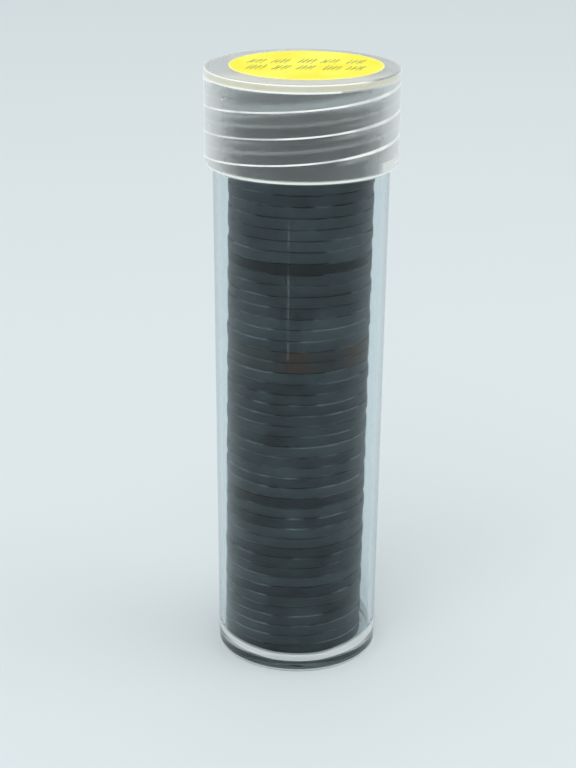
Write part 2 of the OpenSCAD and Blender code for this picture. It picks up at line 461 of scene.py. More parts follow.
def painted_upright_reflection(tree, height, turn):
    """A painted reflection: a faint bright upright line in pieces, and a fainter one between them."""
    reach = band(tree, height, *REFLECTED_LINE_REACH)
    reach = add(tree, "Math", TIMES, (reach, REFLECTED_LINE_BETWEEN))
    for piece in REFLECTED_LINE_PIECES:
        reach = add(tree, "Math", LARGER_OF, (reach, band(tree, height, *piece)))
    line = add(tree, "Math", TIMES, (band(tree, turn, *REFLECTED_LINE), reach))
    return add(tree, "Math", TIMES, (line, REFLECTED_LINE_STRENGTH))


# The line printed here is the painted reflection.
print(f"flow line: {shoulder_r * (REFLECTED_LINE[1] - REFLECTED_LINE[0]):.2f} mm wide")

# %% Let the lamps through
def show_plastic(tree, plastic, shadow_colour):
    """Shows the plastic, but lets shadow rays straight through with a tint."""
    through = add(tree, "BsdfTransparent", inputs={"Color": linear(shadow_colour)})
    shadow = add(tree, "LightPath").outputs["Is Shadow Ray"]
    both = add(tree, "MixShader", inputs=(shadow, plastic, through))
    add(tree, "OutputMaterial", inputs={"Surface": both})


TUBE_SHADOW = "#EEF4F4"
print("a wall of the tube lets", [round(c, 2) for c in linear(TUBE_SHADOW)[:3]], "of a lamp through")

# %% Material of the tube
POLYSTYRENE_IOR = 1.59
POLYSTYRENE_GLOSS = "#868686"
INNER_SKIN = "#FCFEFE"
OUTER_SKIN = "#DAE5E8"
NECK_SKIN = "#FAFCFC"
# Painted shade: the dark colour of the outer skin where it is seen edge on.
PAINTED_OUTLINE_SHADE = "#5E6F75"
# Painted reflection: the dark coins mirrored in the foot's slab.
SLAB_REFLECTION_COLOUR = "#4A5356"
# Painted highlights of the foot, and the painted upright reflection.
PAINTED_HIGHLIGHT_COLOUR = "#FAFCFC"
HIGHLIGHT_PASSING = 0.5
NECK_EDGE_MM = 0.1
OUTLINE = (0.68, 0.9)
OUTLINE_SHARE = 0.75
WAVE_MM = 7.0
WAVE_DEPTH_MM = 0.0015
# Hair scuffs are finer on a real tube. They are drawn as wide as they need to show.
SCUFF_MM = 0.9
SCUFF_STRETCH = 14.0
SCUFFED = (0.5, 0.8)
SMOOTH_TO_SCUFFED = (0.02, 0.10)


def clear_polystyrene():
    """Hard, glassy and clear, with painted light at the foot and edge on, and a painted upright
    reflection.
    """
    material, tree = new_material("clear_polystyrene")
    mm = in_millimetres(tree)
    height, turn = height_and_turn(tree, mm)
    radius = distance_in_plan(tree, mm)
    outside = add(tree, "Math", {"operation": "GREATER_THAN"}, (radius, bore_low_r - CORNER_ROUND))
    # Painted highlights of the foot's corner and ring, and the painted dark reflection in its slab.
    bright, dark = foot_painted_light(tree, height, turn)
    bright = add(tree, "Math", TIMES, (bright, outside))
    # Adds the painted upright reflection to the painted highlights.
    bright = add(tree, "Math", LARGER_OF, (bright, painted_upright_reflection(tree, height, turn)))
    dark = add(tree, "Math", TIMES, (dark, outside))

    neck_edge = (shoulder_z - NECK_EDGE_MM, shoulder_z + NECK_EDGE_MM)
    neck = add(tree, "MapRange", inputs=(height, *neck_edge, 0.0, 1.0))
    skin = add(tree, "MapRange", inputs=(radius, bore_high_r, bore_high_r + NECK_WALL / 2, 0.0, 1.0))
    # Painted shade: the outer skin darkens where it is seen edge on, which draws the outline.
    facing = add(tree, "LayerWeight", inputs={"Blend": 0.5}).outputs["Facing"]
    outline_shade = add(tree, "MapRange", inputs=(facing, *OUTLINE, 0.0, OUTLINE_SHARE))
    outline_shade = add(tree, "Math", TIMES, (outline_shade, skin))
    colour = add(tree, "Mix", COLOURS, (skin, linear(INNER_SKIN), linear(OUTER_SKIN)))
    colour = add(tree, "Mix", COLOURS, (neck, colour, linear(NECK_SKIN)))
    colour = add(tree, "Mix", COLOURS, (outline_shade, colour, linear(PAINTED_OUTLINE_SHADE)))
    colour = add(tree, "Mix", COLOURS, (dark, colour, linear(SLAB_REFLECTION_COLOUR)))
    colour = add(tree, "Mix", COLOURS, (bright, colour, linear(PAINTED_HIGHLIGHT_COLOUR)))
    passing = add(tree, "MapRange", inputs=(bright, 0.0, 1.0, 1.0, HIGHLIGHT_PASSING))

    waves = add(tree, "TexNoise", inputs={"Vector": mm, "Scale": 1 / WAVE_MM, "Detail": 1.0})
    upright = add(tree, "Mapping", inputs={"Vector": mm, "Scale": (1, 1, 1 / SCUFF_STRETCH)})
    scuffs = add(tree, "TexNoise", inputs={"Vector": upright, "Scale": 1 / SCUFF_MM, "Detail": 6.0})
    worn = add(tree, "MapRange", inputs=(scuffs, *SCUFFED, *SMOOTH_TO_SCUFFED))
    bump = add(tree, "Bump", inputs={"Distance": WAVE_DEPTH_MM * MM, "Height": waves})
    plastic = add(tree, "BsdfPrincipled", inputs={
        "Base Color": colour,
        "Roughness": worn,
        "IOR": POLYSTYRENE_IOR,
        "Specular Tint": linear(POLYSTYRENE_GLOSS),
        "Transmission Weight": passing,
        "Normal": bump,
    })
    show_plastic(tree, plastic, TUBE_SHADOW)
    return material


tube_shell.data.materials.append(clear_polystyrene())
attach(tube_shell, "tube")
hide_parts("tube_body")
print("tube finish:", tube_shell.data.materials[0].name)

# %% [markdown]
# ## Milky polyethylene
# The cap is natural low-density polyethylene: no pigment, but its fine crystals scatter light, so it
# looks like thin milk. A volume shader would give this, but it is slow and doesn't export. So both
# skins of the skirt let nearly all light pass, the inner one blurs it, and the outer one holds more of
# it back where it is seen edge on, because there the way through the wall is longer. Sheen lays the
# white haze over it. The top is thicker, and lets less light pass.
# Where a ridge ends at a sharp lower corner, the scattered light leaves it and the corner shows as a
# bright line through the skirt, paler in some places than in others. The same happens at the skirt's
# lower edge, at the rim of the top and where the top's underside meets the skirt. All of these are
# drawn on the outer skin by their place on the cap: the height less the rise for the direction in
# plan is the same all along a ridge.

# %% Lines along the ridges
# The lower line widens to the right. The upper one is given in shares of the ridges' pitch.
lower_corner_z = cap_ridge_low - cap_half_root - THREAD_LEAD * CAP_START_DEG / 360
THREADED = (skirt_z + SKIRT_LEAD_IN, mouth_z, 0.1)
LINE_HALF_MM = 0.15
LINE_CORE = 0.5
LINES_WIDEN = (-1.5, -0.5)
PALING_MM = 6.0
PALING = (0.38, 0.56)
PALEST_LINE = 0.55
UPPER_CORNER_MM = 1.45
upper_share = UPPER_CORNER_MM / RIDGE_PITCH
UPPER_LINE = (upper_share, upper_share + 0.05, 0.07)
UPPER_REACH = (skirt_z + 3.0, mouth_z - 1.7, 0.3)
UPPER_STRENGTH = 0.08


def ridge_lines(tree, mm, height, turn):
    """A bright line at the lower corner of each ridge and a faint one at its upper corner."""
    climbed = add(tree, "Math", TIMES, (turn, THREAD_LEAD / math.tau))
    level = add(tree, "Math", LESS, (height, climbed))
    unrolled = add(tree, "Math", LESS, (level, lower_corner_z))
    from_line = add(tree, "Math", {"operation": "PINGPONG"}, (unrolled, RIDGE_PITCH / 2))
    half = add(tree, "MapRange", EASED, (turn, *LINES_WIDEN, LINE_HALF_MM, 2 * LINE_HALF_MM))
    core = add(tree, "Math", TIMES, (half, LINE_CORE))
    line = add(tree, "MapRange", EASED, (from_line, half, core, 0.0, 1.0))
    line = add(tree, "Math", TIMES, (line, band(tree, height, *THREADED)))
    pale = add(tree, "TexNoise", inputs={"Vector": mm, "Scale": 1 / PALING_MM, "Detail": 2.0})
    strength = add(tree, "MapRange", inputs=(pale, *PALING, PALEST_LINE, 1.0))
    line = add(tree, "Math", TIMES, (line, strength))

    ridges = add(tree, "Math", OVER, (unrolled, RIDGE_PITCH))
    share = add(tree, "Math", {"operation": "FRACT"}, (ridges,))
    faint = band(tree, share, *UPPER_LINE)
    faint = add(tree, "Math", TIMES, (faint, band(tree, height, *UPPER_REACH)))
    faint = add(tree, "Math", TIMES, (faint, UPPER_STRENGTH))
    return add(tree, "Math", LARGER_OF, (line, faint))


print(f"ridge lines: {2 * LINE_HALF_MM:.1f} mm wide, and up to {4 * LINE_HALF_MM:.1f} mm at one side")

# %% Painted highlights at the edges
# Each painted highlight has its heights, its directions or None for all round, and its strength. The
# patch low on the skirt is a painted highlight as well.
EDGE_HIGHLIGHTS = {
    "skirt's lower edge": ((skirt_z - 1.0, skirt_z + 0.26, 0.14), None, 0.8),
    "rim of the top": ((cap_top_z - 0.17, cap_top_z - 0.07, 0.05), (-4.0, -0.95, 0.25), 0.85),
    "patch low on the skirt": ((skirt_z + 0.4, skirt_z + 1.6, 0.1), (-0.6, -0.3, 0.06), 0.4),
}
UNDERSIDE_EDGE = (mouth_z - 0.08, mouth_z + 0.08, 0.08)
UNDERSIDE_FADES = (-1.2, -1.16)
UNDERSIDE_STRENGTHS = (0.95, 0.25)


def painted_edge_highlights(tree, height, turn, outside):
    """The cap's painted highlights at its edges, with the one where the top's underside meets the
    skirt.
    """
    strength = add(tree, "MapRange", inputs=(turn, *UNDERSIDE_FADES, *UNDERSIDE_STRENGTHS))
    bright = add(tree, "Math", TIMES, (band(tree, height, *UNDERSIDE_EDGE), strength))
    bright = add(tree, "Math", TIMES, (bright, outside))
    for heights, directions, strength in EDGE_HIGHLIGHTS.values():
        mark = band(tree, height, *heights)
        if directions:
            mark = add(tree, "Math", TIMES, (mark, band(tree, turn, *directions)))
        mark = add(tree, "Math", TIMES, (mark, strength))
        bright = add(tree, "Math", LARGER_OF, (bright, mark))
    return bright


print("marks of the cap:", ", ".join(EDGE_HIGHLIGHTS))

# %% Painted light from the label in the top
# Painted light: the yellow label's light, carried into the plastic, is painted as a warm glow on the
# top's upper side in front, next to the label, and as a cream band under its rim.
GLOW_TURNS = (-2.3, -0.85, 0.5)
GLOW_HEIGHTS = (cap_top_z - 0.03, cap_top_z - 0.01)
GLOW_SHARE = 0.6
CREAM_BAND = (mouth_z + 0.12, cap_top_z - 0.25, 0.1)
CREAM_SHARE = 0.8


def painted_label_light(tree, height, turn):
    """How far a place gets the painted warm light of the yellow label."""
    glow = add(tree, "MapRange", inputs=(height, *GLOW_HEIGHTS, 0.0, GLOW_SHARE))
    glow = add(tree, "Math", TIMES, (glow, band(tree, turn, *GLOW_TURNS)))
    cream = add(tree, "Math", TIMES, (band(tree, height, *CREAM_BAND), CREAM_SHARE))
    return add(tree, "Math", LARGER_OF, (glow, cream))


print(f"cream band: {CREAM_BAND[1] - CREAM_BAND[0]:.2f} mm high")

# %% Material of the cap
POLYETHYLENE_IOR = 1.51
POLYETHYLENE_GLOSS = "#989898"
CAP_SHADOW = "#A8B0AD"
MILKS = ("#F2F6F7", "#FFFFFF")
# The colour of the painted warm light from the label.
LABEL_LIGHT_COLOUR = "#F8F4D4"
LINE_COLOUR = "#FFFFF8"
HAZE = 1.0
HAZE_SPREAD = 0.42
HAZE_COLOUR = "#F4F8F8"
EDGE_ON = (0.2, 0.7)
FACING_PASSING = 0.96
EDGE_ON_PASSING = 0.55
INNER_PASSING = 0.99
TOP_PASSING = 0.87
CREAM_PASSING = 0.25
LINE_OPAQUE = 0.9
TOP_STEP_MM = 0.2
SKIN_STEP_MM = 0.1
INNER_BLUR = 0.35
OUTER_ROUGH = (0.2, 0.28)
STREAK_MM = 3.0
STREAK_STRETCH = 5.0
STREAK_DEPTH_MM = 0.002


def milky_polyethylene():
    """Thin milk on both skins, more of it edge on, with painted highlights at edges and corners."""
    material, tree = new_material("milky_polyethylene")
    mm = in_millimetres(tree)
    height, turn = height_and_turn(tree, mm)
    radius = distance_in_plan(tree, mm)
    outside = add(tree, "Math", {"operation": "GREATER_THAN"}, (radius, skirt_r + SKIRT_WALL / 2))
    # Painted highlights: bright lines along the ridges and at the cap's edges.
    lines = add(tree, "Math", TIMES, (ridge_lines(tree, mm, height, turn), outside))
    bright = add(tree, "Math", LARGER_OF, (lines, painted_edge_highlights(tree, height, turn, outside)))
    # Painted warm light from the label, on the top and under its rim.
    cream = painted_label_light(tree, height, turn)

    around = add(tree, "Mapping", inputs={"Vector": mm, "Scale": (1, 1, STREAK_STRETCH)})
    streaks = add(tree, "TexNoise", inputs={"Vector": around, "Scale": 1 / STREAK_MM, "Detail": 3.0})
    colour = add(tree, "Mix", COLOURS, (streaks, *[linear(milk) for milk in MILKS]))
    colour = add(tree, "Mix", COLOURS, (cream, colour, linear(LABEL_LIGHT_COLOUR)))
    colour = add(tree, "Mix", COLOURS, (bright, colour, linear(LINE_COLOUR)))

    facing = add(tree, "LayerWeight", inputs={"Blend": 0.5}).outputs["Facing"]
    outer = add(tree, "MapRange", EASED, (facing, *EDGE_ON, FACING_PASSING, EDGE_ON_PASSING))
    skins = (skirt_r, skirt_r + SKIN_STEP_MM)
    top_step = (mouth_z, mouth_z + TOP_STEP_MM)
    passing = add(tree, "MapRange", inputs=(radius, *skins, INNER_PASSING, outer))
    passing = add(tree, "MapRange", inputs=(height, *top_step, passing, TOP_PASSING))
    passing = add(tree, "MapRange", inputs=(cream, 0.0, 1.0, passing, CREAM_PASSING))
    passing = add(tree, "MapRange", inputs=(bright, 0.0, LINE_OPAQUE, passing, 0.0))

    blur = add(tree, "MapRange", inputs=(radius, *skins, INNER_BLUR, 0.0))
    rough = add(tree, "MapRange", inputs=(streaks, *NOISE_SPAN, *OUTER_ROUGH))
    rough = add(tree, "Math", {"operation": "ADD"}, (rough, blur))
    bump = add(tree, "Bump", inputs={"Distance": STREAK_DEPTH_MM * MM, "Height": streaks})
    plastic = add(tree, "BsdfPrincipled", inputs={
        "Base Color": colour,
        "Roughness": rough,
        "IOR": POLYETHYLENE_IOR,
        "Specular Tint": linear(POLYETHYLENE_GLOSS),
        "Sheen Weight": HAZE,
        "Sheen Roughness": HAZE_SPREAD,
        "Sheen Tint": linear(HAZE_COLOUR),
        "Transmission Weight": passing,
        "Normal": bump,
    })
    show_plastic(tree, plastic, CAP_SHADOW)
    return material


cap_shell.data.materials.append(milky_polyethylene())
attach(cap_shell, "cap")
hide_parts("screw_cap")
print("cap finish:", cap_shell.data.materials[0].name)

# %% [markdown]
# ## Tarnished coins
# The coins are struck from steel with a thin zinc coat, which has gone dark grey. Zinc dulls to a
# soft skin of oxide, which is almost matt and only partly metal to the eye. The edges rub on the tube
# and stay brighter in places, and painted highlights make them lighter still at four sides, where
# rims catch the light. The gaps between the coins get a painted shade. A stack isn't even: one coin
# is nearly black, three are darker than the rest, and two have rust in ragged patches. The imported
# coins keep their meshes. Their finish reads the height, which tells how far up its own coin a point
# of the rim is, and a number that each coin gets for itself shifts its tone.

# %% Tone and rust of a coin
GRAIN_MM = 1.6
GRAIN_STRETCH = 6.0
BLOTCH_MM = 5.0
OWN_TONE = 0.42
BLOTCH_TONE = 0.55
RUST_COLOUR = "#43362F"
RUST_TURNS = ((-0.75, -0.55), (-1.7, -1.5), (0.9, 1.4), (2.6, 2.8))
RUST_RAGGED = 0.9
RUST_SOFT = 0.22


def oxide_skin(tree, turn, blotch, dark, light, rust_turns):
    """The colour of the dull zinc, from dark to light, with patches of rust."""
    own = add(tree, "ObjectInfo").outputs["Random"]
    own_tone = add(tree, "MapRange", inputs=(own, 0.0, 1.0, 0.0, OWN_TONE))
    blotch_tone = add(tree, "MapRange", inputs=(blotch, *NOISE_SPAN, 0.0, BLOTCH_TONE))
    tone = add(tree, "Math", {"operation": "ADD", "use_clamp": True}, (own_tone, blotch_tone))
    skin = add(tree, "Mix", COLOURS, (tone, linear(dark), linear(light)))
    ragged = add(tree, "Math", {"operation": "MULTIPLY_ADD"}, (blotch, RUST_RAGGED, turn))
    for low, high in rust_turns:
        rusty = band(tree, ragged, low + RUST_RAGGED / 2, high + RUST_RAGGED / 2, RUST_SOFT)
        skin = add(tree, "Mix", COLOURS, (rusty, skin, linear(RUST_COLOUR)))
    return skin


print("rust patches on a rusty coin:", len(RUST_TURNS))

# %% Rubbed edges, painted highlights and painted shade in the gaps
# The shares are of a coin's thickness, from its middle, so a coin ends at 0.5.
EDGE_SHARES = (0.41, 0.47)
GAP_SHARES = (0.455, 0.48)
GAP_GRAIN = (0.4, 0.6)
GAP_SHADE_DEPTHS = (0.35, 0.9)
RUBBED_BLOTCH = (0.5, 0.66)
# Painted highlights: at these directions the rims are made lighter, as where they catch the light.
RIM_HIGHLIGHT_TURNS = ((-2.6, -2.1), (-1.1, -0.6), (0.5, 1.2), (2.2, 2.7))
RIM_HIGHLIGHT_SOFT = 0.25
RIM_HIGHLIGHT_MORE = 0.09


def edge_wear_and_painted_light(tree, height, turn, grain, blotch):
    """How far a place is rubbed or painted bright, and how much painted shade it gets between two
    coins.
    """
    above_floor = add(tree, "Math", LESS, (height, FLOOR_T))
    level = add(tree, "Math", OVER, (above_floor, COIN_T))
    share = add(tree, "Math", {"operation": "FRACT"}, (level,))
    centred = add(tree, "Math", LESS, (share, 0.5))
    from_middle = add(tree, "Math", {"operation": "ABSOLUTE"}, (centred,))
    # Painted shade: the gap between two coins is darkened towards near black.
    gap_shade_depth = add(tree, "MapRange", inputs=(grain, *GAP_GRAIN, *GAP_SHADE_DEPTHS))
    gap_shade = add(tree, "MapRange", inputs=(from_middle, *GAP_SHARES, 0.0, gap_shade_depth))

    # Real wear by the blotches, with painted highlights added at four sides.
    wear_and_highlight = blotch
    for low, high in RIM_HIGHLIGHT_TURNS:
        side = band(tree, turn, low, high, RIM_HIGHLIGHT_SOFT)
        wear_and_highlight = add(tree, "Math", {"operation": "MULTIPLY_ADD"}, (side, RIM_HIGHLIGHT_MORE, wear_and_highlight))
    patchy = add(tree, "MapRange", inputs=(wear_and_highlight, *RUBBED_BLOTCH, 0.0, 1.0))
    edges = add(tree, "MapRange", inputs=(from_middle, *EDGE_SHARES, 0.0, 1.0))
    rubbed_and_lit = add(tree, "Math", TIMES, (edges, patchy))
    return add(tree, "Math", TIMES, (rubbed_and_lit, grain)), gap_shade


print(f"rubbed edge: {(0.5 - EDGE_SHARES[0]) * COIN_T:.2f} mm of a coin's {COIN_T} mm")

# %% Material of the coins
# The near black of the painted shade in the gaps.
GAP_SHADE_COLOUR = "#040506"
METAL_SHARE = 0.75
DULL_ROUGH = 0.5
RUBBED_ROUGH = 0.32
RUBBED_FULLY = 0.6
GRAIN_DEPTH_MM = 0.003


def tarnished_zinc(name, dark, light, edge, rust_turns=()):
    """Dull zinc from a dark to a light tone, with rubbed edges, painted highlights and painted gap
    shade.
    """
    material, tree = new_material(name)
    mm = in_millimetres(tree)
    height, turn = height_and_turn(tree, mm)
    along = add(tree, "Mapping", inputs={"Vector": mm, "Scale": (1, 1, GRAIN_STRETCH)})
    grain = add(tree, "TexNoise", inputs={"Vector": along, "Scale": 1 / GRAIN_MM, "Detail": 2.0})
    blotch = add(tree, "TexNoise", inputs={"Vector": mm, "Scale": 1 / BLOTCH_MM, "Detail": 3.0})
    rubbed_and_lit, gap_shade = edge_wear_and_painted_light(tree, height, turn, grain, blotch)
    colour = oxide_skin(tree, turn, blotch, dark, light, rust_turns)
    # Painted shade in the gaps between the coins.
    colour = add(tree, "Mix", COLOURS, (gap_shade, colour, linear(GAP_SHADE_COLOUR)))
    # Rubbed edges, lighter still where the painted highlights lie.
    colour = add(tree, "Mix", COLOURS, (rubbed_and_lit, colour, linear(edge)))
    rough = add(tree, "MapRange", inputs=(rubbed_and_lit, 0.0, RUBBED_FULLY, DULL_ROUGH, RUBBED_ROUGH))
    bump = add(tree, "Bump", inputs={"Distance": GRAIN_DEPTH_MM * MM, "Height": grain})
    metal = add(tree, "BsdfPrincipled", inputs={
        "Base Color": colour,
        "Metallic": METAL_SHARE,
        "Roughness": rough,
        "Normal": bump,
    })
    add(tree, "OutputMaterial", inputs={"Surface": metal})
    return material


finishes = {
    "coin_steel": tarnished_zinc("tarnished_zinc", "#20272A", "#4C575C", "#A6B3BA"),
    "coin_dark": tarnished_zinc("darkened_zinc", "#171D20", "#353F43", "#8C989E"),
    "coin_brown": tarnished_zinc("rusting_zinc", "#1D2225", "#444949", "#929696", RUST_TURNS),
}
for part in frame["record"]["subparts"]:
    if part["material_slot"] in finishes:
        coin = frame["nodes"][part["node"]]
        coin.material_slots[0].material = finishes[part["material_slot"]]
BLACKEST_COIN = "coin_38"
blackened = tarnished_zinc("blackened_zinc", "#0B0F11", "#1D2428", "#667277")
frame["nodes"][BLACKEST_COIN].material_slots[0].material = blackened

# %% [markdown]
# ## The paper label
# A round sticker of fluorescent yellow paper, die cut, so its edge shows a hair of white core. The
# disc is turned like the other round pieces, with a rounded upper edge where the paper is pressed
# down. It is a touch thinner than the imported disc, which leaves room for the pencil marks.

# %% Make the label
MARK_T = 0.01
LABEL_T = 0.1
label_x, label_y = LABEL_SHIFT
label_top_z = cap_top_z + LABEL_T
edge_round = LABEL_T / 2

label_rings = [(0, cap_top_z + AIR / 2, None)]
label_rings += [(LABEL_D / 2 - edge_round / 2, cap_top_z + AIR / 2, None)]
label_rings += arc(LABEL_D / 2 - edge_round, label_top_z - edge_round, edge_round, 0, 90)
label_rings += [(0, label_top_z, None)]
label = turned_body("paper_label", label_rings)
label.data.transform(Matrix.Translation((label_x * MM, label_y * MM, 0)))
print("label:", len(label.data.polygons), "faces")

# %% Material of the label
PAPER_YELLOWS = ("#FAF034", "#FFFC5C")
PAPER_CORE = "#FDFDD0"
CUT_EDGE_MM = 0.35
CUT_EDGE_SHARE = 0.8
CLOUD_MM = 6.0
CLOUDY = (0.35, 0.65)
# Paper fibres are about 0.03 mm wide. They are drawn ten times as wide, to show at all.
FIBRE_MM = 0.35
FIBRE_DEPTH_MM = 0.01
PAPER_ROUGH = (0.62, 0.8)


def yellow_paper():
    """Matt yellow paper with fibres, a cloudy tone and a paler cut edge."""
    material, tree = new_material("yellow_paper")
    mm = in_millimetres(tree)
    reach = distance_in_plan(tree, mm, (label_x, label_y))
    rim = (LABEL_D / 2 - CUT_EDGE_MM, LABEL_D / 2)
    cut = add(tree, "MapRange", inputs=(reach, *rim, 0.0, CUT_EDGE_SHARE))
    fibres = add(tree, "TexNoise", inputs={"Vector": mm, "Scale": 1 / FIBRE_MM, "Detail": 6.0})
    cloud = add(tree, "TexNoise", inputs={"Vector": mm, "Scale": 1 / CLOUD_MM, "Detail": 2.0})
    tone = add(tree, "MapRange", inputs=(cloud, *CLOUDY, 0.0, 1.0))
    colour = add(tree, "Mix", COLOURS, (tone, *[linear(yellow) for yellow in PAPER_YELLOWS]))
    colour = add(tree, "Mix", COLOURS, (cut, colour, linear(PAPER_CORE)))
    rough = add(tree, "MapRange", inputs=(fibres, *NOISE_SPAN, *PAPER_ROUGH))
    bump = add(tree, "Bump", inputs={"Distance": FIBRE_DEPTH_MM * MM, "Height": fibres})
    sheet = add(tree, "BsdfPrincipled", inputs={
        "Base Color": colour,
        "Roughness": rough,
        "Normal": bump,
    })
    add(tree, "OutputMaterial", inputs={"Surface": sheet})
    return material


label.data.materials.append(yellow_paper())
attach(label, "cap")
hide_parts("cap_label")
print("label finish:", label.data.materials[0].name)

# %% [markdown]
# ## Pencil marks
# The label is where an owner notes what is in the tube. Here it holds a plain tally in pencil, ten
# groups of five. Each stroke is a thin, slightly bowed ribbon that swells and fades as a hand presses.
# Ribbons keep their edge in a close view, which a painted texture of this size wouldn't.

# %% Draw one stroke
STROKE_WIDTH = 0.18
STROKE_STEPS = 6
STROKE_BOW = 0.12
LEAST_PRESS = 0.45
PRESS_SWELL = 0.55
PRESS_FROM = 0.15
PRESS_SPAN = 0.75
PRESS_SHAKE = 0.08
HAND_SEED = 50
hand = random.Random(HAND_SEED)


def shake(most):
    """A hand is off by up to this much, either way."""
    return hand.uniform(-most, most)


def stroke(points, faces, start, end):
    """Adds one pencil stroke from start to end as a flat closed ribbon, in mm."""
    first = len(points)
    length = math.dist(start, end)
    side = ((start[1] - end[1]) / length, (end[0] - start[0]) / length)
    bow = shake(STROKE_BOW)
    for i in range(STROKE_STEPS + 1):
        share = i / STROKE_STEPS
        off = bow * math.sin(math.pi * share)
        x = start[0] + (end[0] - start[0]) * share + side[0] * off
        y = start[1] + (end[1] - start[1]) * share + side[1] * off
        swell = math.sin(math.pi * (PRESS_FROM + PRESS_SPAN * share))
        press = LEAST_PRESS + PRESS_SWELL * swell + shake(PRESS_SHAKE)
        for z in (label_top_z, label_top_z + MARK_T):
            for edge in (-STROKE_WIDTH / 2 * press, STROKE_WIDTH / 2 * press):
                points.append(((x + side[0] * edge) * MM, (y + side[1] * edge) * MM, z * MM))
    for i in range(STROKE_STEPS):
        a, b = first + 4 * i, first + 4 * i + 4
        faces.extend([(a, a + 1, b + 1, b), (a + 2, b + 2, b + 3, a + 3)])
        faces.extend([(a, b, b + 2, a + 2), (a + 1, a + 3, b + 3, b + 1)])
    last = first + 4 * STROKE_STEPS
    faces.extend([(first, first + 2, first + 3, first + 1), (last, last + 1, last + 3, last + 2)])


print("a stroke has", 4 * STROKE_STEPS + 2, "faces")

# %% Make the pencil tally
GROUPS_PER_ROW = 5
GROUP_PITCH = 3.2
GROUP_SHAKE = 0.2
ROW_Y = (2.4, -2.1)
UPRIGHTS = 4
STROKE_PITCH = 0.55
STROKE_LENGTH = 2.9
STROKE_SLANT = 0.9
STROKE_SHAKE = 0.08
END_SHAKE = 0.3
CROSSING_REACH = 2.4 * STROKE_PITCH
CROSSING_FALL = -0.9
CROSSING_RISE = 0.8

points, faces = [], []
for row_y in ROW_Y:
    for group in range(GROUPS_PER_ROW):
        middle_x = label_x + (group - (GROUPS_PER_ROW - 1) / 2) * GROUP_PITCH + shake(GROUP_SHAKE)
        middle_y = label_y + row_y + shake(GROUP_SHAKE)
        for k in range(UPRIGHTS):
            x = middle_x + (k - (UPRIGHTS - 1) / 2) * STROKE_PITCH + shake(STROKE_SHAKE)
            top = middle_y + STROKE_LENGTH / 2 + shake(END_SHAKE)
            foot = middle_y - STROKE_LENGTH / 2 + shake(END_SHAKE)
            stroke(points, faces, (x + STROKE_SLANT / 2, top), (x - STROKE_SLANT / 2, foot))
        crossing_start = (middle_x - CROSSING_REACH, middle_y + CROSSING_FALL)
        crossing_end = (middle_x + CROSSING_REACH, middle_y + CROSSING_RISE)
        stroke(points, faces, crossing_start, crossing_end)
tally_mesh = bpy.data.meshes.new("pencil_tally")
tally_mesh.from_pydata(points, [], faces)
tally = bpy.data.objects.new("pencil_tally", tally_mesh)
bpy.context.scene.collection.objects.link(tally)
print("tally:", len(faces), "faces")

# %% [markdown]
# ## Graphite
# A pencil leaves graphite on the high fibres of the paper only, so a stroke is broken by the paper's
# tooth and stays a mix of grey and yellow. It shines a little more than the paper does.

# %% Material of the pencil marks
# The tooth of paper is about 0.1 mm wide. It is drawn coarser, so that it breaks up a stroke.
TOOTH_MM = 0.25
GRAPHITE_HELD = (0.38, 0.58)
BARE_AND_GREY = ("#D6D14C", "#8A884C")
GRAPHITE_ROUGH = 0.5


def graphite():
    """Grey on the paper's high fibres, and its yellow between them."""
    material, tree = new_material("graphite_on_paper")
    mm = in_millimetres(tree)
    tooth = add(tree, "TexNoise", inputs={"Vector": mm, "Scale": 1 / TOOTH_MM, "Detail": 3.0})
    held = add(tree, "MapRange", inputs=(tooth, *GRAPHITE_HELD, 0.0, 1.0))
    colour = add(tree, "Mix", COLOURS, (held, *[linear(shade) for shade in BARE_AND_GREY]))
    mark = add(tree, "BsdfPrincipled", inputs={"Base Color": colour, "Roughness": GRAPHITE_ROUGH})
    add(tree, "OutputMaterial", inputs={"Surface": mark})
    return material


tally_mesh.materials.append(graphite())
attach(tally, "cap")
print("marks finish:", tally_mesh.materials[0].name)

# %% [markdown]
# ## Camera
# The photograph was taken from a little above, with a phone held level. The values below are that
# camera: its distance in front of the tube, its height, how far it looks down, and the small turns
# to the side. The picture is 576 by 768 pixels and Blender's 36 mm sensor lies along the long side,
# so a focal length in pixels becomes one in millimetres by that ratio.

# %% Place the camera
# Where no unit is named, lengths are in mm and angles in radians.
FOCAL_PX = 1700
LONG_SIDE_PX = 768
SENSOR_MM = 36
CAMERA_BACK = 216.63
CAMERA_HEIGHT = 122.29
LOOK_DOWN = 0.369
LOOK_LEFT = 0.007
TILT = 0.008
NEAREST_SEEN_M = 0.01

ahead = math.cos(LOOK_LEFT) * math.cos(LOOK_DOWN)
to_the_right = -math.sin(LOOK_LEFT) * math.cos(LOOK_DOWN)
forward = Vector((to_the_right, ahead, -math.sin(LOOK_DOWN)))
level_right = forward.cross(Vector((0, 0, 1))).normalized()
level_up = level_right.cross(forward)
right = level_right * math.cos(TILT) + level_up * math.sin(TILT)
up = level_up * math.cos(TILT) - level_right * math.sin(TILT)
facing_tube = Matrix((right, up, -forward)).transposed().to_4x4()

camera_data = bpy.data.cameras.new("camera")
camera_data.lens = FOCAL_PX / LONG_SIDE_PX * SENSOR_MM
camera_data.sensor_width = SENSOR_MM
camera_data.clip_start = NEAREST_SEEN_M
camera = bpy.data.objects.new("camera", camera_data)
camera.matrix_world = Matrix.Translation((0, -CAMERA_BACK * MM, CAMERA_HEIGHT * MM)) @ facing_tube
bpy.context.scene.collection.objects.link(camera)
bpy.context.scene.camera = camera
print(f"camera: {camera_data.lens:.1f} mm lens")

# %% [markdown]
# ## The table
# The object stands on a plain pale table, wide enough to fill every view. A floor could be a picture
# or a pattern, but clear plastic shows what is behind it, and a plain one keeps the object readable.

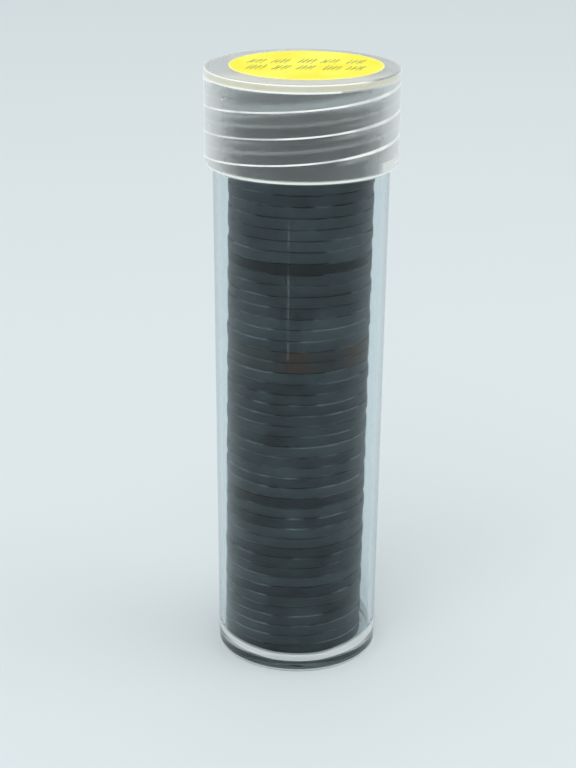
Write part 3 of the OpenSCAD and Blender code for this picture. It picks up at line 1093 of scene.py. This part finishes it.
# %% Make the table
TABLE_M = 4.0
TABLE_DROP_MM = 0.02
TABLE_COLOUR = "#DCE5E8"
TABLE_ROUGH = 0.6

half = TABLE_M / 2
table_z = -TABLE_DROP_MM * MM
table_corners = [(x * half, y * half, table_z) for x, y in ((-1, -1), (1, -1), (1, 1), (-1, 1))]
table_mesh = bpy.data.meshes.new("table")
table_mesh.from_pydata(table_corners, [], [(0, 1, 2, 3)])
table = bpy.data.objects.new("table", table_mesh)
bpy.context.scene.collection.objects.link(table)
material, tree = new_material("pale_table")
surface = add(tree, "BsdfPrincipled", inputs={
    "Base Color": linear(TABLE_COLOUR),
    "Roughness": TABLE_ROUGH,
})
add(tree, "OutputMaterial", inputs={"Surface": surface})
table_mesh.materials.append(material)
print("table:", TABLE_M, "m wide")

# %% [markdown]
# ## Light
# Clear plastic shows only what is around it, so the light is soft and plain: one broad lamp above and
# in front, a weaker one from the other side, and a nearly even sky that is a little darker near the
# horizon. The lamps stand high enough to stay out of the upright walls, which mirror the table
# instead, and they don't show through the plastic as white squares.
# The sky lights the scene, but the eye, a mirror and the clear plastic see a plain grey backdrop in
# its place. Light Path tells these rays from the ones that carry light.

# %% Place the lamps
def lamp(name, place, size, power):
    """A soft rectangular lamp that faces the middle of the tube."""
    data = bpy.data.lights.new(name, "AREA")
    data.shape = "RECTANGLE"
    data.size, data.size_y = size
    data.energy = power
    made = bpy.data.objects.new(name, data)
    made.visible_transmission = False
    made.location = place
    aim = Vector((0, 0, cap_top_z / 2 * MM)) - Vector(place)
    made.rotation_euler = aim.to_track_quat("-Z", "Y").to_euler()
    bpy.context.scene.collection.objects.link(made)


lamp("key", place=(-0.27, -0.57, 0.85), size=(0.7, 0.7), power=2.8)
lamp("fill", place=(0.62, -0.08, 0.78), size=(0.6, 0.6), power=1.1)

# %% Make the sky
SKY_COLOUR = "#F4F5F5"
BACKDROP_COLOUR = "#CDD5D8"
HORIZON_LIGHT = 0.78
ZENITH_LIGHT = 0.92
SKY_CHANGES = (0.02, 0.7)

world = bpy.data.worlds.new("soft_sky")
world.use_nodes = True
tree = world.node_tree
tree.nodes.clear()
direction = add(tree, "TexCoord").outputs["Generated"]
steep = add(tree, "SeparateXYZ", inputs=(direction,)).outputs["Z"]
shade = add(tree, "MapRange", EASED, (steep, *SKY_CHANGES, HORIZON_LIGHT, ZENITH_LIGHT))
path = add(tree, "LightPath").outputs
mirrored = add(tree, "Math", LARGER_OF, (path["Is Glossy Ray"], path["Is Transmission Ray"]))
seen = add(tree, "Math", LARGER_OF, (path["Is Camera Ray"], mirrored))
light = add(tree, "Background", inputs={"Color": linear(SKY_COLOUR), "Strength": shade})
backdrop = add(tree, "Background", inputs={"Color": linear(BACKDROP_COLOUR), "Strength": 1.0})
sky = add(tree, "MixShader", inputs=(seen, light, backdrop))
add(tree, "OutputWorld", inputs={"Surface": sky})
bpy.context.scene.world = world
print(f"sky: strength {HORIZON_LIGHT} at the horizon, {ZENITH_LIGHT} overhead")

# %% [markdown]
# ## Render settings
# The Standard view transform shows a colour as it was written. Light passes up to four skins of
# plastic on its way in and four on its way out, so more bounces than usual are allowed.

# %% Set the view and the bounces
scene = bpy.context.scene
scene.view_settings.view_transform = "Standard"
scene.cycles.max_bounces = 24
scene.cycles.transmission_bounces = 20
scene.cycles.transparent_max_bounces = 24
scene.cycles.glossy_bounces = 8
print("bounces:", scene.cycles.max_bounces)
